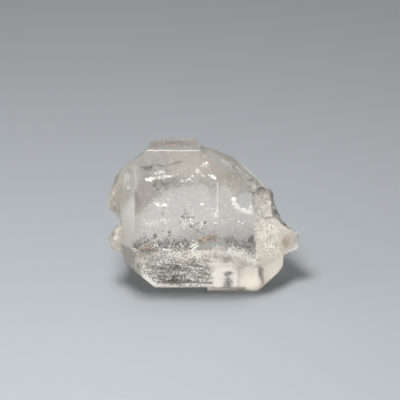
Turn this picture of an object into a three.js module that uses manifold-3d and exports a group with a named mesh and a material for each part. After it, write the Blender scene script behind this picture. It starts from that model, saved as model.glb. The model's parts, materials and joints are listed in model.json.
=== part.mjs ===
// A doubly terminated quartz crystal lying on one of its prism faces.
// Millimetres, +Z up, long axis of the crystal along X, origin at the bottom centre.

import * as THREE from "three";
import { mergeVertices } from "three/addons/utils/BufferGeometryUtils.js";
import Module from "manifold-3d";

const wasm = await Module();
wasm.setup();

// ---- Driving dimensions -------------------------------------------------------------------

// Places are [x, y, z] from the middle of the crystal's long axis. A face's direction is
// given by two angles: `around` turns it from the viewer's side over the top, and `lean`
// tips it towards the right end, or the left end where it is negative.

const axisHeight = 9.8; // the long axis above the surface that the crystal lies on
const endLean = 38.2; // quartz: angle between a prism face and the end face above it

// Six prism faces, 60 degrees apart. `out` is the distance from the long axis, and `right`
// and `left` are where the end faces start. A step holds an end face back at one place.
const prismFaces = {
  front: {
    around: 30, out: 5.85, right: 1.7, left: -8.3,
    rightStep: { around: 36, lean: 50, at: [1.8, -6.1, 1.1] },
  },
  top: { around: 90, out: 9.2, right: -0.45, left: -6.8 },
  upperBack: {
    around: 150, out: 6.25, right: 2.75, left: -4.0,
    leftStep: { around: 255, lean: -65, at: [-6.4, 1.3, 9.2] },
  },
  lowerBack: { around: 210, out: 6.65, right: 4.2, left: -7.7 },
  base: { around: 270, out: axisHeight, right: 6.6, left: -6.6 },
  lowerFront: { around: 330, out: 7.05, right: 6.6, left: -8.3 },
};

// Flat faces that take off a corner.
const cornerFaces = [
  { around: 292, lean: -45, at: [-8.5, -5.0, -5.4] }, // low on the left
  { around: 116, lean: -7, at: [-6.4, 1.3, 9.2] }, // behind the top face
  { around: 340, lean: -84, at: [-10.4, 0, 2] }, // blunt left end
];

// Ledges: a face set back from its neighbour, as far as a low riser.
const ledges = [
  {
    face: { around: 150, lean: -12, at: [-0.5, 0.2, 9.2] }, // behind the top, right
    riser: { around: 120, lean: 75, at: [-0.95, 1.9, 9.2] },
  },
  {
    face: { around: 286, lean: 0, at: [-3, -3, -8.9] }, // under the front, left
    riser: { around: 330, lean: -75, at: [0.4, -2.7, -9.3] },
  },
  {
    face: { around: 25, lean: 74, at: [8.5, 0.9, 2.15] }, // broken right end, above the tip
    riser: { around: 122, lean: 39, at: [9.2, -0.4, -0.75] },
  },
  {
    face: { around: 275, lean: 0, at: [9.8, -2.1, -4.8] }, // broken right end, under the tip
    riser: { around: 330, lean: 84, at: [9.75, -2.2, -5.0] },
  },
];

// Shell-shaped breaks: a round hollow of the given radius, sunk to the given depth into the
// surface at one place.
const breaks = [
  { around: 34, lean: 42, at: [7.4, -0.7, 1.7], radius: 7.5, depth: 0.42 }, // right end
  { around: 56, lean: 38, at: [6.4, -0.5, 3.5], radius: 5.0, depth: 0.3 },
  { around: 45, lean: 70, at: [8.7, 1.0, 0.9], radius: 4.6, depth: 0.24 },
  { around: 112, lean: 44, at: [10.0, 0.4, -1.7], radius: 5.2, depth: 0.2 },
  { around: 196, lean: 48, at: [8.4, 3.6, -3.4], radius: 7.0, depth: 0.3 },
  { around: 70, lean: -72, at: [-10.4, 0.8, 5.4], radius: 5.5, depth: 0.3 }, // left end
  { around: 215, lean: -70, at: [-10.2, 3.2, -1.2], radius: 6.5, depth: 0.35 },
  { around: 0, lean: -35, at: [-8.2, -7.3, -1.1], radius: 1.5, depth: 0.14 }, // front corner
  { around: 180, lean: 14, at: [0.9, 7.4, -0.5], radius: 3.4, depth: 0.14 }, // back edge
  { around: 180, lean: -20, at: [-5.6, 7.3, -0.4], radius: 1.8, depth: 0.12 },
  { around: 244, lean: -8, at: [-2.8, 3.0, -9.6], radius: 4.0, depth: 0.2 }, // back, low
  { around: 60, lean: 8, at: [-2.6, -1.55, 9.15], radius: 1.6, depth: 0.05 }, // top edge
];

// Small crystals grown into the main one. `radius` is measured to their prism faces.
const youngCrystals = [
  { radius: 2.35, halfLength: 4.6, at: [-8.95, -0.4, 2.7], turn: [6, 93, -8] }, // left, upper
  { radius: 1.5, halfLength: 2.3, at: [-10.0, -2.6, -2.5], turn: [-6, 78, 10] }, // left, lower
  { radius: 1.05, halfLength: 1.65, at: [10.65, -1, -3.55], turn: [8, -58, -14] }, // right tip
];

const blockSize = 60; // larger than the crystal, for the blocks that cut it
const ballDetail = 11; // how finely the hollows are faceted

// ---- Solids from three.js shapes ----------------------------------------------------------

function toSolid(geometry) {
  const plain = geometry.clone();
  plain.deleteAttribute("normal");
  plain.deleteAttribute("uv");
  const merged = mergeVertices(plain, 1e-5);
  const mesh = new wasm.Mesh({
    numProp: 3,
    vertProperties: new Float32Array(merged.attributes.position.array),
    triVerts: new Uint32Array(merged.index.array),
  });
  return new wasm.Manifold(mesh);
}

function toGeometry(solid) {
  const mesh = solid.getMesh();
  const geometry = new THREE.BufferGeometry();
  geometry.setAttribute("position", new THREE.BufferAttribute(mesh.vertProperties, 3));
  geometry.setIndex(new THREE.BufferAttribute(mesh.triVerts, 1));
  geometry.computeVertexNormals();
  return geometry;
}

// The outward direction of a face, turned about X and leaned towards +X or -X.
function outward(around, lean = 0) {
  const turn = THREE.MathUtils.degToRad(around);
  const tilt = THREE.MathUtils.degToRad(lean);
  const side = Math.cos(tilt);
  return new THREE.Vector3(Math.sin(tilt), -side * Math.cos(turn), side * Math.sin(turn));
}

// Everything on the outer side of a flat face, as a large block.
function beyond({ around, lean = 0, at }) {
  const block = new THREE.BoxGeometry(blockSize, blockSize, blockSize);
  block.translate(0, 0, blockSize / 2);
  const up = new THREE.Vector3(0, 0, 1);
  const turn = new THREE.Quaternion().setFromUnitVectors(up, outward(around, lean));
  block.applyQuaternion(turn);
  block.translate(...at);
  return toSolid(block);
}

// A ball that leaves a round hollow in the surface.
function hollow({ around, lean, at, radius, depth }) {
  const ball = new THREE.IcosahedronGeometry(radius, ballDetail);
  const centre = outward(around, lean).multiplyScalar(radius - depth);
  ball.translate(centre.x + at[0], centre.y + at[1], centre.z + at[2]);
  return toSolid(ball);
}

// The point of a prism face that lies straight out from the long axis at x.
function pointOn(face, x) {
  return outward(face.around).multiplyScalar(face.out).setX(x).toArray();
}

// ---- Crystals -----------------------------------------------------------------------------

// What a sloping end face takes off above one prism face.
function endCut(face, x, lean, step) {
  const cut = beyond({ around: face.around, lean, at: pointOn(face, x) });
  return step ? cut.intersect(beyond(step)) : cut;
}

// A prism closed at both ends by six sloping faces.
function quartzForm(faces) {
  let crystal = toSolid(new THREE.BoxGeometry(blockSize / 2, blockSize / 2, blockSize / 2));
  for (const face of faces) {
    crystal = crystal.subtract(beyond({ around: face.around, at: pointOn(face, 0) }));
    crystal = crystal.subtract(endCut(face, face.right, endLean, face.rightStep));
    crystal = crystal.subtract(endCut(face, face.left, -endLean, face.leftStep));
  }
  return crystal;
}

function youngCrystal({ radius, halfLength, at, turn }) {
  const reach = halfLength - radius / Math.tan(THREE.MathUtils.degToRad(endLean));
  const faces = Object.values(prismFaces).map(({ around }) => {
    return { around, out: radius, right: reach, left: -reach };
  });
  return quartzForm(faces).rotate(turn).translate(at);
}

function wholeCrystal() {
  let crystal = quartzForm(Object.values(prismFaces));
  for (const face of cornerFaces) {
    crystal = crystal.subtract(beyond(face));
  }
  for (const ledge of ledges) {
    crystal = crystal.subtract(beyond(ledge.face).intersect(beyond(ledge.riser)));
  }
  for (const young of youngCrystals) {
    crystal = crystal.add(youngCrystal(young));
  }
  for (const place of breaks) {
    crystal = crystal.subtract(hollow(place));
  }
  return crystal;
}

// ---- The finished part --------------------------------------------------------------------

const quartz = new THREE.MeshStandardMaterial({
  color: 0xd9d6cd,
  roughness: 0.05,
  metalness: 0,
  transparent: true,
  opacity: 0.4,
});

const crystal = new THREE.Mesh(toGeometry(wholeCrystal()), quartz);
crystal.name = "quartz_crystal";

const box = new THREE.Box3().setFromObject(crystal);
const middle = box.getCenter(new THREE.Vector3());
crystal.position.set(-middle.x, -middle.y, -box.min.z);

const herkimerDiamond = new THREE.Group();
herkimerDiamond.add(crystal);

export default herkimerDiamond;
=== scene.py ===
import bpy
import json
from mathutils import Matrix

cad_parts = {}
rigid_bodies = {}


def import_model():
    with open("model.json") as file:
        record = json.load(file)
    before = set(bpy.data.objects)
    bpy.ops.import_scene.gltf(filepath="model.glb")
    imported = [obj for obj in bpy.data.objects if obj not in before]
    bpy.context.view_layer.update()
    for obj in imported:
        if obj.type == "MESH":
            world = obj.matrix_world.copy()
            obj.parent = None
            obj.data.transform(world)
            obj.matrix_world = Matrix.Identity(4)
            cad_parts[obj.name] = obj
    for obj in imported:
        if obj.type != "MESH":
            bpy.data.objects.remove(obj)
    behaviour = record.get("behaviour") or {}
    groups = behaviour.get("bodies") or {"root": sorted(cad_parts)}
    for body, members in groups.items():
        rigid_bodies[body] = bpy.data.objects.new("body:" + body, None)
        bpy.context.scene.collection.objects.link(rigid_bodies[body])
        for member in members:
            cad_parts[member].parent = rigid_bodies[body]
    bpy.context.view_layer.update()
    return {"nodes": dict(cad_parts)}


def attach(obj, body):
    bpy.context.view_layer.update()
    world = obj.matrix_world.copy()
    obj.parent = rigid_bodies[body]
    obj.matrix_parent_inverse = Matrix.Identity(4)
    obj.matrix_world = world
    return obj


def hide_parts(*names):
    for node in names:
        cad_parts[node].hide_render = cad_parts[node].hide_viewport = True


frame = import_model()

import json
import math
import random

import bpy
from mathutils import Euler, Vector, noise
from mathutils.bvhtree import BVHTree

mm = 0.001


# camera, looking down at the crystal from the front with a long lens
cameraLook = {
    "elevation": math.radians(28),
    "distance": 300 * mm,  # from the crystal's long axis
    "axisHeight": 9.8 * mm,
    "aim": (-0.48 * mm, -4.62 * mm, 13.9 * mm),
    "frameWidth": 48 * mm,  # the width of the view at the place it aims at
    "sensor": 36,
    "clipStart": 10 * mm,
}
towardsViewer = Vector((0, -math.cos(cameraLook["elevation"]), math.sin(cameraLook["elevation"])))


def addCamera(look):
    camera = bpy.data.cameras.new("mainCamera")
    holder = bpy.data.objects.new("mainCamera", camera)
    bpy.context.scene.collection.objects.link(holder)
    holder.location = Vector((0, 0, look["axisHeight"])) + towardsViewer * look["distance"]
    towards = Vector(look["aim"]) - holder.location
    holder.rotation_euler = towards.to_track_quat("-Z", "Y").to_euler()
    camera.sensor_width = look["sensor"]
    camera.lens = camera.sensor_width * towards.length / look["frameWidth"]
    camera.clip_start = look["clipStart"]
    bpy.context.scene.camera = holder


addCamera(cameraLook)
print("camera placed")


# table and soft studio light
tableLook = {"size": 3.0, "colour": (0.186, 0.199, 0.211), "roughness": 0.7}
roomLook = {  # a height is the sine of the elevation
    "wallsEnd": {"height": 0.93, "colour": (0.126, 0.12, 0.112)},
    "ceilingStarts": {"height": 0.98, "colour": (0.12, 0.118, 0.11)},
}
lampsAimAt = (0, 0, 5)  # mm, low in the crystal
cardSize = (160, 110)  # mm, where a lamp states no size of its own
lamps = {
    "keySoftbox": {"at": (-27, -60, 142), "size": (46, 46), "power": 0.51},
    "lowFrontCard": {"at": (0, -300, 60), "power": 0.1},
    "lowBackCard": {"at": (0, 293, 67), "power": 0.043},
    "backRightCard": {"at": (205, 118, 190), "power": 0.042},
    "lowRightCard": {"at": (296, 0, 52), "power": 0.051},
    "highRightCard": {"at": (233, -41, 190), "power": 0.091},
    "frontRightCard": {"at": (130, -225, 155), "power": 0.116},
    "lowLeftCard": {"at": (-296, 0, 52), "power": 0.042},
    "leftFrontCard": {"at": (-252, -146, 78), "power": 0.266},
    "highLeftCard": {"at": (-236, -21, 190), "power": 0.173},
    "topSoftbox": {"at": (0, 10, 305), "power": 0.216},
}


def plainMaterial(name, colour, roughness):
    material = bpy.data.materials.new(name)
    material.use_nodes = True
    shader = material.node_tree.nodes["Principled BSDF"]
    shader.inputs["Base Color"].default_value = (*colour, 1)
    shader.inputs["Roughness"].default_value = roughness
    return material


def addTable(look):
    bpy.ops.mesh.primitive_plane_add(size=look["size"])
    table = bpy.context.object
    table.name = "table"
    table.data.materials.append(plainMaterial("paleTable", look["colour"], look["roughness"]))


# an even room, a touch darker right overhead
def addRoom(look):
    world = bpy.data.worlds.new("room")
    world.use_nodes = True
    nodes = world.node_tree.nodes
    links = world.node_tree.links
    place = nodes.new("ShaderNodeTexCoord")
    split = nodes.new("ShaderNodeSeparateXYZ")
    ramp = nodes.new("ShaderNodeValToRGB")
    links.new(place.outputs["Generated"], split.inputs[0])
    links.new(split.outputs["Z"], ramp.inputs["Fac"])
    links.new(ramp.outputs["Color"], nodes["Background"].inputs["Color"])
    for stop, border in zip(ramp.color_ramp.elements, look.values()):
        stop.position = border["height"]
        stop.color = (*border["colour"], 1)
    bpy.context.scene.world = world


def addLamp(name, look):
    lamp = bpy.data.lights.new(name, "AREA")
    lamp.shape = "RECTANGLE"
    lamp.size, lamp.size_y = Vector(look.get("size", cardSize)) * mm
    lamp.energy = look["power"]
    holder = bpy.data.objects.new(name, lamp)
    bpy.context.scene.collection.objects.link(holder)
    holder.location = Vector(look["at"]) * mm
    towards = Vector(lampsAimAt) * mm - holder.location
    holder.rotation_euler = towards.to_track_quat("-Z", "Y").to_euler()
    holder.visible_camera = False  # only its light and its reflections show


addTable(tableLook)
addRoom(roomLook)
for lampName, lampLook in lamps.items():
    addLamp(lampName, lampLook)
bpy.context.scene.view_settings.view_transform = "Standard"
print("studio ready")


# clear quartz, faintly warm, with gently uneven faces. Iron stains the right tip and the left
# end. The break is shinier than the faces, and the left end and the tip are duller.
quartzLook = {
    "tint": (0.985, 0.972, 0.945),
    "ior": 1.544,
    "clear": 0.94,
    "deepColour": (0.62, 0.50, 0.28),  # light turns towards it on its way inside
    "density": 22.0,
    "polish": 0.265,
    "waves": [{"length": 3.2 * mm, "height": 0.1 * mm}, {"length": 0.8 * mm, "height": 0.02 * mm}],
}
stains = [
    {"at": (10.2, -1.6, 6.6), "reach": 1.1, "colour": (0.52, 0.38, 0.26)},
    {"at": (-10.6, -1.0, 12.5), "reach": 5.0, "colour": (0.93, 0.89, 0.78)},
    {"at": (-9.0, -3.6, 9.5), "reach": 3.6, "colour": (0.78, 0.71, 0.64)},
]
finishes = [
    {"at": (8.2, -0.6, 10.6), "reach": 3.4, "roughness": 0.18},
    {"at": (-10.6, 0.0, 9.0), "reach": 3.0, "roughness": 0.3},
    {"at": (10.8, -1.7, 6.8), "reach": 2.0, "roughness": 0.7},
]

patchBorder = {"rags": 0.4, "fadesFrom": 0.8, "fadesTo": 1.6}  # in reaches of the patch


# 1 at a place and 0 past its reach, with a ragged border
def patchAround(nodes, links, spot):
    place = nodes.new("ShaderNodeTexCoord")
    grain = nodes.new("ShaderNodeTexNoise")
    grain.inputs["Scale"].default_value = 1 / (spot["reach"] * patchBorder["rags"] * mm)
    grain.inputs["Detail"].default_value = 3
    away = nodes.new("ShaderNodeVectorMath")
    away.operation = "DISTANCE"
    away.inputs[1].default_value = Vector(spot["at"]) * mm
    blur = nodes.new("ShaderNodeMath")
    blur.operation = "MULTIPLY_ADD"
    blur.inputs[1].default_value = spot["reach"] * mm
    fade = nodes.new("ShaderNodeMapRange")
    fade.interpolation_type = "SMOOTHSTEP"
    fade.inputs["From Min"].default_value = spot["reach"] * patchBorder["fadesTo"] * mm
    fade.inputs["From Max"].default_value = spot["reach"] * patchBorder["fadesFrom"] * mm
    links.new(place.outputs["Object"], grain.inputs["Vector"])
    links.new(place.outputs["Object"], away.inputs[0])
    links.new(grain.outputs["Fac"], blur.inputs[0])
    links.new(away.outputs["Value"], blur.inputs[2])
    links.new(blur.outputs["Value"], fade.inputs["Value"])
    return fade.outputs["Result"]


# a Mix node's sockets for each kind of value: the first, the second and the result
mixSockets = {"RGBA": (6, 7, 2), "FLOAT": (2, 3, 0)}


def mixInto(nodes, links, kind, before, after, share):
    mix = nodes.new("ShaderNodeMix")
    mix.data_type = kind
    first, second, result = mixSockets[kind]
    links.new(share, mix.inputs["Factor"])
    if isinstance(before, bpy.types.NodeSocket):
        links.new(before, mix.inputs[first])
    else:
        mix.inputs[first].default_value = before
    mix.inputs[second].default_value = after
    return mix.outputs[result]


# faint waves over the faces, the long ones first
def unevenNormal(nodes, links, waves):
    place = nodes.new("ShaderNodeTexCoord")
    normal = None
    for wave in waves:
        swell = nodes.new("ShaderNodeTexNoise")
        swell.inputs["Scale"].default_value = 1 / wave["length"]
        swell.inputs["Detail"].default_value = 1
        bump = nodes.new("ShaderNodeBump")
        bump.inputs["Distance"].default_value = wave["height"]
        links.new(place.outputs["Object"], swell.inputs["Vector"])
        links.new(swell.outputs["Fac"], bump.inputs["Height"])
        if normal:
            links.new(normal, bump.inputs["Normal"])
        normal = bump.outputs["Normal"]
    return normal


def quartzMaterial(look):
    material = bpy.data.materials.new("clearQuartz")
    material.use_nodes = True
    nodes = material.node_tree.nodes
    links = material.node_tree.links
    shader = nodes["Principled BSDF"]
    shader.inputs["IOR"].default_value = look["ior"]
    shader.inputs["Transmission Weight"].default_value = look["clear"]
    colour = (*look["tint"], 1)
    for stain in stains:
        share = patchAround(nodes, links, stain)
        colour = mixInto(nodes, links, "RGBA", colour, (*stain["colour"], 1), share)
    links.new(colour, shader.inputs["Base Color"])
    roughness = look["polish"]
    for finish in finishes:
        share = patchAround(nodes, links, finish)
        roughness = mixInto(nodes, links, "FLOAT", roughness, finish["roughness"], share)
    links.new(roughness, shader.inputs["Roughness"])
    links.new(unevenNormal(nodes, links, look["waves"]), shader.inputs["Normal"])
    inside = nodes.new("ShaderNodeVolumeAbsorption")
    inside.inputs["Color"].default_value = (*look["deepColour"], 1)
    inside.inputs["Density"].default_value = look["density"]
    links.new(inside.outputs["Volume"], nodes["Material Output"].inputs["Volume"])
    return material


# the crystal: worn edges, and a rough, sugary break at the right end
crystalLook = {
    "mergeWithin": 0.02 * mm,
    "sameFace": math.radians(0.5),
    "sharpFrom": math.radians(15),
    "edgeWear": 0.05 * mm,
    "wearSteps": 2,
    "breakStages": [
        {"cuts": 1, "offset": 0.18 * mm, "seed": 4},
        {"cuts": 1, "offset": 0.1 * mm, "seed": 9},
        {"cuts": 1, "offset": 0.05 * mm, "seed": 2},
    ],
    "evenness": 0.3,  # of the corners' offsets: 0 is random, 1 makes them all alike
    "breakFrom": {"x": 5.2, "z": 7.2, "facingRight": 0.2},
    "hollowFacet": 0.8 * mm * mm,  # the largest area of a facet in a hollow
}


def selectOnly(piece):
    bpy.ops.object.select_all(action="DESELECT")
    piece.select_set(True)
    bpy.context.view_layer.objects.active = piece


def selectFaces(piece, wanted):
    for polygon in piece.data.polygons:
        polygon.select = wanted(polygon)
    for edge in piece.data.edges:
        edge.select = False
    for vertex in piece.data.vertices:
        vertex.select = False


# the small facets of the broken surface above the right tip
def inBreak(polygon):
    least = crystalLook["breakFrom"]
    centre = polygon.center / mm
    small = polygon.area < crystalLook["hollowFacet"] and len(polygon.vertices) < 5
    near = centre.x > least["x"] and centre.z > least["z"]
    return small and near and polygon.normal.x > least["facingRight"]


def copyCrystal():
    node = frame["nodes"]["quartz_crystal"]
    crystal = bpy.data.objects.new("quartzCrystal", node.data.copy())
    bpy.context.scene.collection.objects.link(crystal)
    crystal.data.materials.clear()
    return crystal


def wearCrystal(crystal, look):
    selectOnly(crystal)
    bpy.ops.object.mode_set(mode="EDIT")
    bpy.ops.mesh.select_mode(type="VERT")
    bpy.ops.mesh.select_all(action="SELECT")
    bpy.ops.mesh.remove_doubles(threshold=look["mergeWithin"])
    bpy.ops.mesh.dissolve_degenerate(threshold=look["mergeWithin"])
    bpy.ops.mesh.dissolve_limited(angle_limit=look["sameFace"])
    bpy.ops.object.mode_set(mode="OBJECT")
    wear = crystal.modifiers.new("wornEdges", "BEVEL")
    wear.width = look["edgeWear"]
    wear.segments = look["wearSteps"]
    wear.limit_method = "ANGLE"
    wear.angle_limit = look["sharpFrom"]
    wear.use_clamp_overlap = False
    wear.loop_slide = True
    bpy.ops.object.modifier_apply(modifier=wear.name)


# splits the facets of the break and pushes their corners in and out, coarse then fine
def roughenBreak(crystal, look):
    selectOnly(crystal)
    bpy.ops.object.mode_set(mode="EDIT")
    bpy.ops.mesh.select_mode(type="FACE")
    bpy.ops.object.mode_set(mode="OBJECT")
    selectFaces(crystal, inBreak)
    print("facets in the break", sum(polygon.select for polygon in crystal.data.polygons))
    bpy.ops.object.mode_set(mode="EDIT")
    bpy.ops.mesh.quads_convert_to_tris()
    for stage in look["breakStages"]:
        bpy.ops.mesh.subdivide(number_cuts=stage["cuts"])
        bpy.ops.mesh.select_less()
        bpy.ops.transform.vertex_random(
            offset=stage["offset"], uniform=look["evenness"], normal=1, seed=stage["seed"])
    bpy.ops.mesh.faces_shade_flat()
    bpy.ops.object.mode_set(mode="OBJECT")


# broad faces stay flat, only the small facets of the hollows are smoothed
def smoothHollows(crystal, look):
    selectOnly(crystal)
    bpy.ops.object.shade_smooth_by_angle(angle=look["sharpFrom"])
    for polygon in crystal.data.polygons:
        polygon.use_smooth = polygon.area < look["hollowFacet"] and len(polygon.vertices) == 3


crystal = copyCrystal()
wearCrystal(crystal, crystalLook)
smoothHollows(crystal, crystalLook)
roughenBreak(crystal, crystalLook)
crystal.data.materials.append(quartzMaterial(quartzLook))
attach(crystal, "root")
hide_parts("quartz_crystal")
print("crystal shaped", len(crystal.data.polygons), "faces")


# Inclusions lie behind the faces. A window is one face of the crystal, and a place behind it is
# given in mm: across the face, up the face, and then inwards, which is along the line of sight
# for the faces in front. Where the key lamp's light doesn't come in through the window itself,
# "lit" names the one that it comes through.
windows = {
    "front": {"corner": (0, -7.44, 8.6), "across": (1, 0, 0), "up": (0, 0.5, 0.866)},
    "below": {"corner": (0, -7.44, 8.6), "across": (1, 0, 0), "up": (0, -0.5, 0.866), "lit": "front"},
    "right": {"corner": (1.68, -7.44, 8.6), "across": (0.786, 0.536, -0.309), "up": (0, 0.5, 0.866)},
    "lowerRight": {"corner": (8.35, -2.71, 3.21), "across": (0.74, 0.67, 0),
                   "up": (0.26, -0.29, 0.92), "lit": "right"},
    "leftFront": {"corner": (-9.5, -5.13, 10.75), "across": (0.786, -0.536, 0.309),
                  "up": (0, 0.5, 0.866)},
    "topRight": {"corner": (0.18, -1.05, 18.49), "across": (0.786, 0, -0.618), "up": (0, 1, 0)},
    "top": {"corner": (-3.5, 0.2, 19), "across": (1, 0, 0), "up": (0, 1, 0)},
    "leftEnd": {"corner": (-10.3, -1.7, 10.3), "across": (1, 0, 0), "up": (0, 0.469, 0.883)},
    "back": {"corner": (0, 5.41, 12.9), "across": (-1, 0, 0), "up": (0, -0.5, 0.866)},
    "lowerBack": {"corner": (0, 5.76, 6.48), "across": (-1, 0, 0), "up": (0, 0.5, 0.866)},
    "base": {"corner": (0, 0, 0), "across": (1, 0, 0), "up": (0, -1, 0)},
}
towardsKeyLamp = Vector(lamps["keySoftbox"]["at"]).normalized()

grainRoom = 1.8  # the least distance from a grain's middle to a face, in half sizes
cloudBorder = 0.3  # how softly a cloud of grains ends


# how a line of sight or of light outside a window goes on inside the crystal
def bent(direction, window):
    outward = Vector(window["across"]).cross(Vector(window["up"])).normalized()
    along = (direction - outward * direction.dot(outward)) / quartzLook["ior"]
    return along + outward * math.sqrt(1 - along.length_squared)


# a ball of 20 faces, 2 units across, with its corners moved and its height scaled
def grainShape(name, thickness, raggedness, seed):
    bpy.ops.object.select_all(action="DESELECT")
    bpy.ops.mesh.primitive_ico_sphere_add(subdivisions=1, radius=1)
    grain = bpy.context.object
    grain.name = name
    bpy.ops.object.mode_set(mode="EDIT")
    bpy.ops.mesh.select_all(action="SELECT")
    bpy.ops.transform.vertex_random(offset=raggedness, uniform=1, seed=seed)
    bpy.ops.transform.resize(value=(1, 1, thickness))
    bpy.ops.object.mode_set(mode="OBJECT")
    corners = [vertex.co.copy() for vertex in grain.data.vertices]
    faces = [tuple(polygon.vertices) for polygon in grain.data.polygons]
    bpy.data.objects.remove(grain)
    return corners, faces


# the place at a share of the way along a line, each of whose stretches counts the same
def alongLine(points, share):
    if len(points) == 1:
        return Vector(points[0])
    reach = share * (len(points) - 1)
    first = min(int(reach), len(points) - 2)
    return Vector(points[first]).lerp(Vector(points[first + 1]), reach - first)


# a place is inside when the first face above it is met from its inner side
def deepInside(place, margin, surface):
    nearest, outward = surface.find_nearest(place)[:2]
    up = Vector((0, 0, 1))
    above = surface.ray_cast(place, up)[1]
    return (nearest - place).dot(outward) > margin and above is not None and above.dot(up) > 0


# one place inside the crystal for a grain of a cluster, or None when it would stick out
def grainPlace(cluster, halfSize, dice, surface):
    window = windows[cluster["behind"]]
    across, up = alongLine(cluster["line"], dice.random())
    across += dice.gauss(0, cluster["spread"][0])
    up += dice.gauss(0, cluster["spread"][1])
    depth = dice.uniform(*cluster["depth"])
    place = Vector(window["corner"]) + Vector(window["across"]) * across
    place += Vector(window["up"]) * up - bent(towardsViewer, window) * depth
    place *= mm
    return place if deepInside(place, halfSize * grainRoom, surface) else None


# a film that shines is turned halfway between the viewer and the key lamp
def halfwayToLamp(name):
    window = windows[name]
    litWindow = windows[window.get("lit", name)]
    towards = bent(towardsViewer, window) + bent(towardsKeyLamp, litWindow)
    return towards.to_track_quat("Z", "Y").to_matrix()


# grains gather in clouds, whose usual size along x, y and z is given, or lie evenly
def inCloud(place, sizes, dice):
    if sizes is None:
        return True
    thickness = noise.noise(Vector(along / size for along, size in zip(place, sizes)))
    return thickness > dice.uniform(-cloudBorder, cloudBorder)


patchTone = {"darkBelow": 0.35, "lightAbove": 0.65}  # of the noise that makes the patches


# a grain's colour changes from dark to light over patches of the given size
def grainMaterial(look):
    material = plainMaterial(look["finish"], look["dark"], look["roughness"])
    nodes = material.node_tree.nodes
    links = material.node_tree.links
    shader = nodes["Principled BSDF"]
    shader.inputs["Metallic"].default_value = look["metallic"]
    place = nodes.new("ShaderNodeTexCoord")
    patches = nodes.new("ShaderNodeTexNoise")
    patches.inputs["Scale"].default_value = 1 / look["patches"]
    patches.inputs["Detail"].default_value = 2
    ramp = nodes.new("ShaderNodeValToRGB")
    low, high = ramp.color_ramp.elements
    low.position = patchTone["darkBelow"]
    low.color = (*look["dark"], 1)
    high.position = patchTone["lightAbove"]
    high.color = (*look["light"], 1)
    links.new(place.outputs["Object"], patches.inputs["Vector"])
    links.new(patches.outputs["Fac"], ramp.inputs["Fac"])
    links.new(ramp.outputs["Color"], shader.inputs["Base Color"])
    return material


# one piece of many small closed grains, each with its own place, size and turn
def scatterGrains(name, look, clusters, shape, surface):
    dice = random.Random(look["seed"])
    corners, faces = shape
    allCorners = []
    allFaces = []
    for cluster in clusters:
        facing = halfwayToLamp(cluster["behind"])
        for grain in range(round(cluster["count"] * look["crowd"])):
            halfSize = dice.uniform(*cluster["size"]) * look["enlarge"] * mm / 2
            place = grainPlace(cluster, halfSize, dice, surface)
            turn = Euler([dice.uniform(-look["tilt"], look["tilt"]) for axis in range(3)]).to_matrix()
            stretch = dice.uniform(*look["stretch"])
            if place is None or not inCloud(place, look["cloud"], dice):
                continue
            first = len(allCorners)
            for corner in corners:
                shaped = turn @ Vector((corner.x * stretch, corner.y, corner.z))
                allCorners.append(facing @ shaped * halfSize + place)
            allFaces += [tuple(first + index for index in face) for face in faces]
    mesh = bpy.data.meshes.new(name)
    mesh.from_pydata(allCorners, [], allFaces)
    piece = bpy.data.objects.new(name, mesh)
    bpy.context.scene.collection.objects.link(piece)
    mesh.materials.append(grainMaterial(look))
    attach(piece, "root")
    print(name, len(allFaces) // len(faces), "grains")


bpy.context.view_layer.update()
surface = BVHTree.FromObject(crystal, bpy.context.evaluated_depsgraph_get())
lump = grainShape("lump", thickness=0.8, raggedness=0.35, seed=3)
flake = grainShape("flake", thickness=0.16, raggedness=0.4, seed=8)


# In a look, tilt is in radians, crowd multiplies each cluster's count and enlarge its sizes.
# In a cluster, the grains lie along a line of places behind a window, spread about it, in mm.

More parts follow.
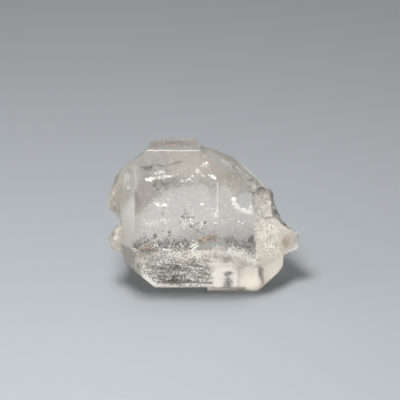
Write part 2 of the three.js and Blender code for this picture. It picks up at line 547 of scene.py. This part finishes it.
# black carbon: two large grains with a tail, loose specks, a band above the belly edge, and painted
# shade up top
carbonAndShadeLook = {
    "finish": "blackCarbonAndShade", "dark": (0.010, 0.008, 0.006), "light": (0.085, 0.06, 0.038),
    "roughness": 0.45, "metallic": 0, "patches": 0.3 * mm,
    "seed": 11, "tilt": 3.1, "stretch": (0.8, 1.7), "crowd": 1.6, "enlarge": 1.5, "cloud": None,
}
carbonAndShadeClusters = [
    {"behind": "front", "line": [(-7.05, 9.85)], "spread": (0.14, 0.06), "depth": (0.27, 0.57),
     "count": 8, "size": (0.16, 0.32)},
    {"behind": "front", "line": [(-6.42, 9.92)], "spread": (0.1, 0.07), "depth": (0.27, 0.57),
     "count": 7, "size": (0.16, 0.32)},
    {"behind": "front", "line": [(-6.4, 10), (-5.7, 10.3), (-5.1, 10.15)], "spread": (0.06, 0.03),
     "depth": (0.23, 0.53), "count": 22, "size": (0.05, 0.11)},
    {"behind": "front", "line": [(-5.2, 10.05), (-4.4, 10.1), (-3.6, 10.45), (-2.7, 10.6)],
     "spread": (0.08, 0.04), "depth": (0.23, 0.59), "count": 40, "size": (0.04, 0.1)},
    {"behind": "front", "line": [(-5.9, 7.68)], "spread": (0.1, 0.07), "depth": (0.45, 0.75),
     "count": 5, "size": (0.1, 0.22)},
    {"behind": "front", "line": [(-5.52, 7.26)], "spread": (0.07, 0.06), "depth": (0.45, 0.75),
     "count": 4, "size": (0.1, 0.2)},
    {"behind": "front", "line": [(-4.56, 7.32)], "spread": (0.07, 0.06), "depth": (0.45, 0.75),
     "count": 4, "size": (0.1, 0.2)},
    {"behind": "front", "line": [(-6.2, 8.1), (-5.2, 8.2), (-4.6, 7.8), (-3.4, 8.3)],
     "spread": (0.15, 0.16), "depth": (0.36, 0.81), "count": 60, "size": (0.04, 0.13)},
    {"behind": "front", "line": [(-4.9, 7.8), (-3.2, 7.65)], "spread": (0.1, 0.04),
     "depth": (0.36, 0.66), "count": 22, "size": (0.05, 0.12)},
    {"behind": "front", "line": [(-8.05, 7), (-8.05, 5.3)], "spread": (0.1, 0.1),
     "depth": (0.36, 1.12), "count": 46, "size": (0.04, 0.1)},
    {"behind": "front", "line": [(-5.95, 1.4), (-5.8, 2)], "spread": (0.04, 0.05),
     "depth": (0.27, 0.57), "count": 6, "size": (0.1, 0.2)},
    {"behind": "front", "line": [(-4.25, 1.7), (-4.1, 2.2)], "spread": (0.06, 0.05),
     "depth": (0.27, 0.57), "count": 7, "size": (0.12, 0.22)},
    {"behind": "front", "line": [(-4.98, 4.5), (-4.98, 4.15)], "spread": (0.02, 0.03),
     "depth": (0.54, 0.84), "count": 4, "size": (0.07, 0.13)},
    {"behind": "front", "line": [(0.05, 3.3)], "spread": (0.07, 0.05), "depth": (0.54, 0.84),
     "count": 4, "size": (0.1, 0.18)},
    {"behind": "front", "line": [(-2.4, 4.2), (-1.3, 3.3), (-0.5, 2.2)], "spread": (0.5, 0.35),
     "depth": (0.45, 1.35), "count": 42, "size": (0.05, 0.14)},
    {"behind": "front", "line": [(-8.1, 0.4), (-7.3, 0.75), (-6.3, 0.6)], "spread": (0.2, 0.2),
     "depth": (0.18, 0.72), "count": 110, "size": (0.06, 0.2)},
    {"behind": "front", "line": [(-7.9, 0.9), (-5.5, 0.8), (-3.5, 0.75), (-1.8, 0.6)],
     "spread": (0.4, 0.34), "depth": (0.23, 1.57), "count": 260, "size": (0.05, 0.15)},
    {"behind": "front", "line": [(-7.6, 1.7), (-3.5, 1.4), (1.2, 1.2)], "spread": (0.5, 0.5),
     "depth": (0.36, 1.8), "count": 90, "size": (0.04, 0.1)},
    {"behind": "right", "line": [(1, 1.3), (2.6, 0.9), (4.2, 0.6), (5.7, 0.45)],
     "spread": (0.3, 0.3), "depth": (0.23, 1.12), "count": 130, "size": (0.05, 0.14)},
    {"behind": "right", "line": [(4.9, 1.6), (5.75, 0.3)], "spread": (0.2, 0.25),
     "depth": (0.23, 0.9), "count": 60, "size": (0.06, 0.16)},
    {"behind": "below", "line": [(-4.7, -3.6), (-1.9, -4.4)], "spread": (0.3, 0.25),
     "depth": (0.14, 0.63), "count": 70, "size": (0.04, 0.1)},
    {"behind": "below", "line": [(-5.4, -6.5), (-4.2, -7.3), (-1.8, -7.5)], "spread": (0.3, 0.25),
     "depth": (0.14, 0.72), "count": 100, "size": (0.04, 0.11)},
    {"behind": "below", "line": [(2.95, -5.2), (2.95, -8.7)], "spread": (0.33, 0.15),
     "depth": (0.14, 0.72), "count": 170, "size": (0.03, 0.08)},
    {"behind": "below", "line": [(-8.3, -2.8), (-5.7, -7.6)], "spread": (0.15, 0.2),
     "depth": (0.14, 0.9), "count": 30, "size": (0.04, 0.11)},
    {"behind": "below", "line": [(-6, -2), (-1, -3), (0, -5)], "spread": (1.2, 1.6),
     "depth": (0.14, 1.57), "count": 34, "size": (0.03, 0.08)},
    # behind the top face: dark grains, partly specks and partly painted shade that darkens the strip
    # there
    {"behind": "top", "line": [(-3, -0.2), (2.2, 0.4)], "spread": (0.3, 0.6), "depth": (0.12, 0.54),
     "count": 330, "size": (0.04, 0.12)},
    {"behind": "top", "line": [(-3, -0.6), (-1.8, 0), (0.4, 0.2)], "spread": (0.3, 0.3),
     "depth": (0.12, 0.54), "count": 90, "size": (0.04, 0.11)},
    {"behind": "leftFront", "line": [(0.2, 4.9)], "spread": (0.08, 0.08), "depth": (0.14, 0.44),
     "count": 5, "size": (0.08, 0.16)},
    # along the top right edge: a line of dark grains, painted shade of the groove there
    {"behind": "topRight", "line": [(3.9, 1.4), (6.4, 1.25), (8.6, 1.0)], "spread": (0.15, 0.22),
     "depth": (0.12, 0.5), "count": 190, "size": (0.05, 0.12)},
    {"behind": "lowerRight", "line": [(-2.98, 2.46), (-1.83, 0.14), (-0.6, -2.4)],
     "spread": (0.2, 0.15), "depth": (0.12, 0.6), "count": 40, "size": (0.04, 0.1)},
    {"behind": "back", "line": [(-5, 0.8), (-3, 1.4), (-1.5, 0.9)], "spread": (0.3, 0.3),
     "depth": (0.15, 1), "count": 50, "size": (0.05, 0.14)},
    {"behind": "back", "line": [(2.5, -2.6), (5, -2.9)], "spread": (0.4, 0.3),
     "depth": (0.15, 1), "count": 60, "size": (0.04, 0.12)},
    {"behind": "lowerBack", "line": [(-3, -2), (2, -2.6)], "spread": (0.8, 0.6),
     "depth": (0.15, 1), "count": 70, "size": (0.04, 0.12)},
]
scatterGrains("carbonAndShadeGrains", carbonAndShadeLook, carbonAndShadeClusters, lump, surface)


# brown, rust-stained grains, and behind the top face partly painted shade
rustAndShadeLook = {
    "finish": "rustBrownAndShade", "dark": (0.13, 0.085, 0.052), "light": (0.49, 0.375, 0.25),
    "roughness": 0.6, "metallic": 0, "patches": 0.4 * mm,
    "seed": 23, "tilt": 3.1, "stretch": (0.8, 1.6), "crowd": 3.2, "enlarge": 1.5,
    "cloud": (1.5 * mm, 0.8 * mm, 0.6 * mm),
}
rustAndShadeClusters = [
    {"behind": "front", "line": [(-0.7, 0.9), (0.3, 1.35), (1, 1.5), (1.5, 1.1)],
     "spread": (0.22, 0.22), "depth": (0.18, 0.9), "count": 150, "size": (0.06, 0.17)},
    {"behind": "front", "line": [(-7.6, 0.2), (-5.6, 0.3)], "spread": (0.4, 0.22),
     "depth": (0.14, 0.72), "count": 120, "size": (0.06, 0.16)},
    {"behind": "front", "line": [(-2.4, 3.9), (-0.8, 2.4)], "spread": (0.5, 0.4),
     "depth": (0.45, 1.35), "count": 40, "size": (0.05, 0.12)},
    {"behind": "below", "line": [(-4.9, -4.4), (-3.6, -4), (-2.4, -3.8)], "spread": (0.6, 0.5),
     "depth": (0.18, 0.9), "count": 200, "size": (0.05, 0.14)},
    {"behind": "below", "line": [(-5, -6.3), (-3.9, -7.1), (-2.2, -7.6)], "spread": (0.6, 0.6),
     "depth": (0.18, 0.9), "count": 280, "size": (0.05, 0.14)},
    {"behind": "below", "line": [(-7.4, -1), (-3, -1.6), (0.6, -2)], "spread": (0.6, 0.9),
     "depth": (0.14, 1.35), "count": 220, "size": (0.05, 0.14)},
    {"behind": "below", "line": [(-6.8, -4.5), (-5, -6), (0, -6.5)], "spread": (0.6, 0.9),
     "depth": (0.14, 1.35), "count": 180, "size": (0.05, 0.14)},
    {"behind": "right", "line": [(5.9, 2.4), (6.5, 1.2), (6.2, -0.6)], "spread": (0.5, 0.5),
     "depth": (0.14, 0.9), "count": 40, "size": (0.04, 0.08)},
    {"behind": "below", "line": [(-6.8, -2), (-5, -4.5), (-0.6, -4.5)], "spread": (0.8, 1.6),
     "depth": (0.14, 1.35), "count": 240, "size": (0.05, 0.14)},
    {"behind": "below", "line": [(-5.2, -7), (0, -7.4)], "spread": (0.4, 0.7),
     "depth": (0.14, 1.35), "count": 120, "size": (0.04, 0.1)},
    {"behind": "below", "line": [(2.6, -2), (5, -4)], "spread": (0.7, 0.9),
     "depth": (0.14, 1.12), "count": 160, "size": (0.03, 0.08)},
    # behind the top face: brown grains, partly stains and partly painted shade that darkens the strip
    # there
    {"behind": "top", "line": [(-3, -0.5), (2.2, 0.2)], "spread": (0.3, 0.5), "depth": (0.12, 0.54),
     "count": 150, "size": (0.05, 0.15)},
    {"behind": "below", "line": [(2.95, -5.2), (2.95, -8.7)], "spread": (0.33, 0.15),
     "depth": (0.15, 0.7), "count": 260, "size": (0.04, 0.1)},
    {"behind": "below", "line": [(0.2, -1), (0.6, -8)], "spread": (0.35, 0.3),
     "depth": (0.15, 1.2), "count": 90, "size": (0.04, 0.1)},
    {"behind": "below", "line": [(1.2, -1), (3.2, -2.2)], "spread": (0.4, 0.5),
     "depth": (0.15, 1.2), "count": 80, "size": (0.04, 0.1)},
    {"behind": "lowerRight", "line": [(-2.98, 2.46), (-1.83, 0.14), (-0.6, -2.4)],
     "spread": (0.2, 0.15), "depth": (0.12, 0.6), "count": 120, "size": (0.05, 0.12)},
    {"behind": "below", "line": [(-1.2, -2.6), (-0.2, -4.8), (-0.6, -7.2)], "spread": (0.4, 0.5),
     "depth": (0.15, 1), "count": 160, "size": (0.05, 0.12)},
]
scatterGrains("rustAndShadeGrains", rustAndShadeLook, rustAndShadeClusters, lump, surface)


# thin air films that mirror the key lamp, most of them turned so that it shows
airFilmLook = {
    "finish": "airFilm", "dark": (0.86, 0.86, 0.84), "light": (0.97, 0.96, 0.92),
    "roughness": 0.3, "metallic": 1, "patches": 0.5 * mm,
    "seed": 37, "tilt": 0.22, "stretch": (0.7, 1.6), "crowd": 2.0, "enlarge": 1.1,
    "cloud": (0.5 * mm, 0.3 * mm, 0.25 * mm),
}
airFilmClusters = [
    {"behind": "front", "line": [(-5.6, 8.6), (-4.8, 8.8), (-3.95, 8.9)], "spread": (0.12, 0.07),
     "depth": (0.41, 0.71), "count": 70, "size": (0.06, 0.18)},
    {"behind": "front", "line": [(-7, 8.35), (-6.2, 8.7)], "spread": (0.15, 0.1),
     "depth": (0.41, 0.71), "count": 34, "size": (0.08, 0.2)},
    {"behind": "front", "line": [(-6.2, 9.3), (-4.8, 9.45)], "spread": (0.2, 0.14),
     "depth": (0.41, 0.72), "count": 36, "size": (0.06, 0.14)},
    {"behind": "front", "line": [(-2.9, 8.2), (-2.2, 8.3), (-1.5, 8.8), (-1.3, 8.3)],
     "spread": (0.12, 0.12), "depth": (0.41, 0.72), "count": 46, "size": (0.05, 0.13)},
    {"behind": "front", "line": [(-1.15, 9.2), (-0.9, 9.5), (-0.4, 9.9), (0.1, 10.3), (0.4, 10.5)],
     "spread": (0.12, 0.1), "depth": (0.41, 0.72), "count": 54, "size": (0.05, 0.13)},
    {"behind": "front", "line": [(-0.1, 8.93)], "spread": (0.04, 0.03), "depth": (0.41, 0.71),
     "count": 5, "size": (0.1, 0.16)},
    {"behind": "front", "line": [(0.8, 8.95), (1.3, 8.5)], "spread": (0.15, 0.1),
     "depth": (0.41, 0.72), "count": 20, "size": (0.07, 0.16)},
    {"behind": "front", "line": [(-5.52, 5.4)], "spread": (0.07, 0.05), "depth": (0.45, 0.75),
     "count": 9, "size": (0.12, 0.24)},
    {"behind": "front", "line": [(-4.78, 5.45)], "spread": (0.09, 0.07), "depth": (0.45, 0.75),
     "count": 11, "size": (0.14, 0.26)},
    {"behind": "front", "line": [(-6, 6.1), (-5.8, 5.4), (-4.6, 5.2), (-4.4, 6.2)],
     "spread": (0.12, 0.12), "depth": (0.45, 0.81), "count": 26, "size": (0.05, 0.12)},
    {"behind": "front", "line": [(-0.25, 5.5)], "spread": (0.08, 0.06), "depth": (0.45, 0.75),
     "count": 9, "size": (0.12, 0.22)},
    {"behind": "front", "line": [(1.6, 5.1), (1.5, 4.5), (1.2, 3.8)], "spread": (0.08, 0.08),
     "depth": (0.27, 0.57), "count": 22, "size": (0.05, 0.13)},
    {"behind": "front", "line": [(-0.5, 4.92), (1.4, 4.97)], "spread": (0.1, 0.03),
     "depth": (0.27, 0.57), "count": 10, "size": (0.04, 0.1)},
    {"behind": "front", "line": [(1.4, 3.25)], "spread": (0.08, 0.05), "depth": (0.27, 0.57),
     "count": 7, "size": (0.08, 0.16)},
    {"behind": "front", "line": [(-7, 3.6), (-6.4, 3), (-5.6, 3.4), (-4.8, 3.8), (-4.5, 3.1)],
     "spread": (0.2, 0.2), "depth": (0.68, 1.35), "count": 60, "size": (0.05, 0.12)},
    {"behind": "front", "line": [(-2.4, 3.8), (-1.4, 3.4), (-0.6, 2.6)], "spread": (0.4, 0.35),
     "depth": (0.45, 1.12), "count": 60, "size": (0.06, 0.16)},
    {"behind": "front", "line": [(-7.5, 0.5), (-5.5, 0.3)], "spread": (0.3, 0.3),
     "depth": (0.18, 0.72), "count": 50, "size": (0.06, 0.16)},
    {"behind": "front", "line": [(-1.4, 0.5), (-0.8, 0.4)], "spread": (0.2, 0.3),
     "depth": (0.18, 0.63), "count": 40, "size": (0.08, 0.2)},
    {"behind": "right", "line": [(2.44, 6.3), (2.55, 5.6), (3.2, 5.05), (4.4, 4.7), (5.4, 5)],
     "spread": (0.18, 0.14), "depth": (0.23, 0.63), "count": 480, "size": (0.06, 0.18)},
    {"behind": "right", "line": [(5.2, 5.1), (5.7, 5.6), (6, 6.3)], "spread": (0.2, 0.2),
     "depth": (0.18, 0.54), "count": 320, "size": (0.06, 0.18)},
    {"behind": "right", "line": [(6.1, 5.6), (6.3, 4.6), (6.7, 4.1)], "spread": (0.2, 0.2),
     "depth": (0.18, 0.54), "count": 260, "size": (0.06, 0.18)},
    {"behind": "right", "line": [(2.8, 3.7), (4.2, 3)], "spread": (0.1, 0.06),
     "depth": (0.23, 0.53), "count": 20, "size": (0.06, 0.14)},
    {"behind": "right", "line": [(1.6, -0.15), (3.4, -0.55), (5.8, -1.5)], "spread": (0.2, 0.2),
     "depth": (0.14, 0.45), "count": 200, "size": (0.08, 0.22)},
    {"behind": "leftFront", "line": [(0.3, 4.5)], "spread": (0.15, 0.2), "depth": (0.14, 0.44),
     "count": 14, "size": (0.1, 0.22)},
    {"behind": "leftEnd", "line": [(-0.5, 2.6)], "spread": (0.12, 0.12), "depth": (-1.2, -0.7),
     "count": 14, "size": (0.1, 0.24)},
    {"behind": "leftEnd", "line": [(-0.9, 2.4), (-0.8, 1), (-0.2, 0.4)], "spread": (0.3, 0.3),
     "depth": (-1.5, 1.5), "count": 90, "size": (0.06, 0.16)},
    {"behind": "leftEnd", "line": [(-1, -3.4), (-0.4, -2.2), (0.2, -1.6)], "spread": (0.2, 0.25),
     "depth": (-1.5, 1.5), "count": 90, "size": (0.06, 0.16)},
    {"behind": "top", "line": [(-1.2, -0.5), (0.4, -0.3), (2, -0.8)], "spread": (0.2, 0.15),
     "depth": (0.14, 0.44), "count": 24, "size": (0.06, 0.16)},
    {"behind": "below", "line": [(-7, -3), (-6.4, -4.3)], "spread": (0.12, 0.25),
     "depth": (0.14, 0.45), "count": 40, "size": (0.08, 0.2)},
    {"behind": "below", "line": [(-1.8, -2.3), (-1, -1.8)], "spread": (0.12, 0.1),
     "depth": (0.14, 0.45), "count": 30, "size": (0.08, 0.18)},
    {"behind": "below", "line": [(-7, -0.5), (-4, -2.4), (0, -2.6)], "spread": (0.8, 1.2),
     "depth": (0.14, 1.35), "count": 110, "size": (0.04, 0.12)},
    {"behind": "below", "line": [(-5.5, -6.5), (-2, -7), (0, -7.5)], "spread": (0.8, 0.9),
     "depth": (0.14, 1.35), "count": 80, "size": (0.04, 0.12)},
    {"behind": "right", "line": [(5.8, 7.4), (6.8, 5.6), (7.6, 3.8)], "spread": (0.6, 0.5),
     "depth": (0.12, 0.5), "count": 340, "size": (0.04, 0.12)},
    {"behind": "below", "line": [(-5.8, -7.6), (1, -7.7)], "spread": (0.1, 0.06),
     "depth": (0.12, 0.3), "count": 220, "size": (0.06, 0.16)},
    {"behind": "front", "line": [(-4.9, 0.1), (-3.5, 0.02)], "spread": (0.05, 0.03),
     "depth": (0.12, 0.4), "count": 18, "size": (0.06, 0.14)},
    {"behind": "topRight", "line": [(3.9, 1.7), (6.4, 1.6), (8.6, 1.3)], "spread": (0.2, 0.3),
     "depth": (0.12, 0.5), "count": 320, "size": (0.04, 0.12)},
    {"behind": "front", "line": [(-6.5, 9.4), (-3, 8.6), (0.6, 9.4)], "spread": (0.8, 1.1),
     "depth": (0.2, 1.2), "count": 120, "size": (0.03, 0.09)},
    {"behind": "back", "line": [(-2, -0.5), (0.5, 0.4), (2.5, 0)], "spread": (0.4, 0.3),
     "depth": (0.15, 1), "count": 60, "size": (0.06, 0.16)},
    {"behind": "lowerBack", "line": [(-4, -1), (3, -1.4)], "spread": (0.6, 0.5),
     "depth": (0.15, 1), "count": 60, "size": (0.05, 0.14)},
]
scatterGrains("airFilms", airFilmLook, airFilmClusters, flake, surface)


# milky veils of tiny bubbles, which look white where the light reaches them; two thin lines of them
# are painted highlights of edges
veilAndHighlightLook = {
    "finish": "milkyVeil", "dark": (0.72, 0.67, 0.58), "light": (0.97, 0.95, 0.90),
    "roughness": 0.5, "metallic": 0, "patches": 0.6 * mm,
    "seed": 51, "tilt": 0.6, "stretch": (0.7, 1.5), "crowd": 1.15, "enlarge": 1.0, "cloud": None,
}
veilAndHighlightClusters = [
    {"behind": "base", "line": [(-5.5, -0.6), (5.8, -0.6)], "spread": (0.5, 1.1),
     "depth": (0.15, 0.8), "count": 600, "size": (0.25, 0.55)},
    {"behind": "below", "line": [(-7.6, -1), (-5.4, -5), (-3, -5)], "spread": (0.7, 2),
     "depth": (0.12, 1.12), "count": 1600, "size": (0.07, 0.18)},
    {"behind": "below", "line": [(-3, -3), (-1.2, -5), (-0.4, -6)], "spread": (0.7, 2),
     "depth": (0.12, 1.12), "count": 1150, "size": (0.07, 0.18)},
    {"behind": "below", "line": [(2.4, -1.6), (5, -3.6)], "spread": (0.7, 0.8),
     "depth": (0.12, 0.9), "count": 260, "size": (0.05, 0.14)},
    # along the bottom edge: white grains, a painted highlight of that edge
    {"behind": "below", "line": [(-5.8, -7.75), (-1, -7.8), (1, -7.9)], "spread": (0.1, 0.08),
     "depth": (0.12, 0.42), "count": 300, "size": (0.06, 0.16)},
    {"behind": "right", "line": [(2, -0.2), (4.2, -0.6), (5.7, -1.4)], "spread": (0.3, 0.35),
     "depth": (0.12, 0.42), "count": 260, "size": (0.1, 0.3)},
    {"behind": "right", "line": [(6.3, 3.4), (6.6, 1.2), (6.5, -0.9)], "spread": (0.35, 0.5),
     "depth": (0.12, 0.42), "count": 330, "size": (0.1, 0.28)},
    {"behind": "right", "line": [(7.6, 3), (8.6, 1), (8, -0.4)], "spread": (0.5, 0.5),
     "depth": (0.12, 0.42), "count": 260, "size": (0.08, 0.24)},
    {"behind": "right", "line": [(5.3, 5), (5.8, 5.8), (6, 6.3)], "spread": (0.25, 0.3),
     "depth": (0.12, 0.42), "count": 260, "size": (0.08, 0.2)},
    {"behind": "right", "line": [(5.8, 7), (6.6, 5.5), (7.4, 4)], "spread": (0.6, 0.6),
     "depth": (0.12, 0.42), "count": 160, "size": (0.06, 0.16)},
    {"behind": "leftEnd", "line": [(-0.8, 2.6), (-0.5, 1), (-0.3, -0.5)], "spread": (0.35, 0.4),
     "depth": (-1, 1.5), "count": 160, "size": (0.05, 0.14)},
    {"behind": "leftEnd", "line": [(-1, -3.4), (-0.4, -2.2), (0.2, -1.6)], "spread": (0.25, 0.3),
     "depth": (-1.5, 1.5), "count": 160, "size": (0.05, 0.14)},
    {"behind": "front", "line": [(-7, 3), (-3, 5), (1, 4)], "spread": (1.2, 1.6),
     "depth": (1.6, 5), "count": 420, "size": (0.04, 0.13)},
    {"behind": "right", "line": [(1, 5), (4.5, 3)], "spread": (0.8, 1.2),
     "depth": (1.6, 4), "count": 200, "size": (0.04, 0.12)},
    {"behind": "front", "line": [(-6.5, 9.4), (-3, 9.8), (0.6, 9.4)], "spread": (0.8, 0.6),
     "depth": (0.36, 1.8), "count": 300, "size": (0.03, 0.08)},
    {"behind": "right", "line": [(0.8, 7.5), (3, 7)], "spread": (0.8, 0.6),
     "depth": (0.23, 1.35), "count": 380, "size": (0.03, 0.08)},
    {"behind": "below", "line": [(0.3, -1), (0.6, -8)], "spread": (0.35, 0.3),
     "depth": (0.15, 1.2), "count": 420, "size": (0.06, 0.16)},
    {"behind": "below", "line": [(1.2, -1), (3.2, -2.2)], "spread": (0.4, 0.6),
     "depth": (0.15, 1.2), "count": 420, "size": (0.06, 0.16)},
    # along the edge between the front and the right face: white grains, a painted highlight of that
    # edge
    {"behind": "front", "line": [(1.6, 8), (1.6, 4.6)], "spread": (0.03, 0.05),
     "depth": (0.1, 0.25), "count": 150, "size": (0.03, 0.07)},
    {"behind": "front", "line": [(1.6, 4.6), (1.6, 0.4)], "spread": (0.03, 0.05),
     "depth": (0.1, 0.25), "count": 50, "size": (0.03, 0.07)},
    {"behind": "topRight", "line": [(2.6, 1), (5.5, 0.9), (8.6, 0.7)], "spread": (0.3, 0.4),
     "depth": (0.12, 0.5), "count": 320, "size": (0.05, 0.14)},
]
scatterGrains("milkyVeilsAndHighlights", veilAndHighlightLook, veilAndHighlightClusters, flake, surface)
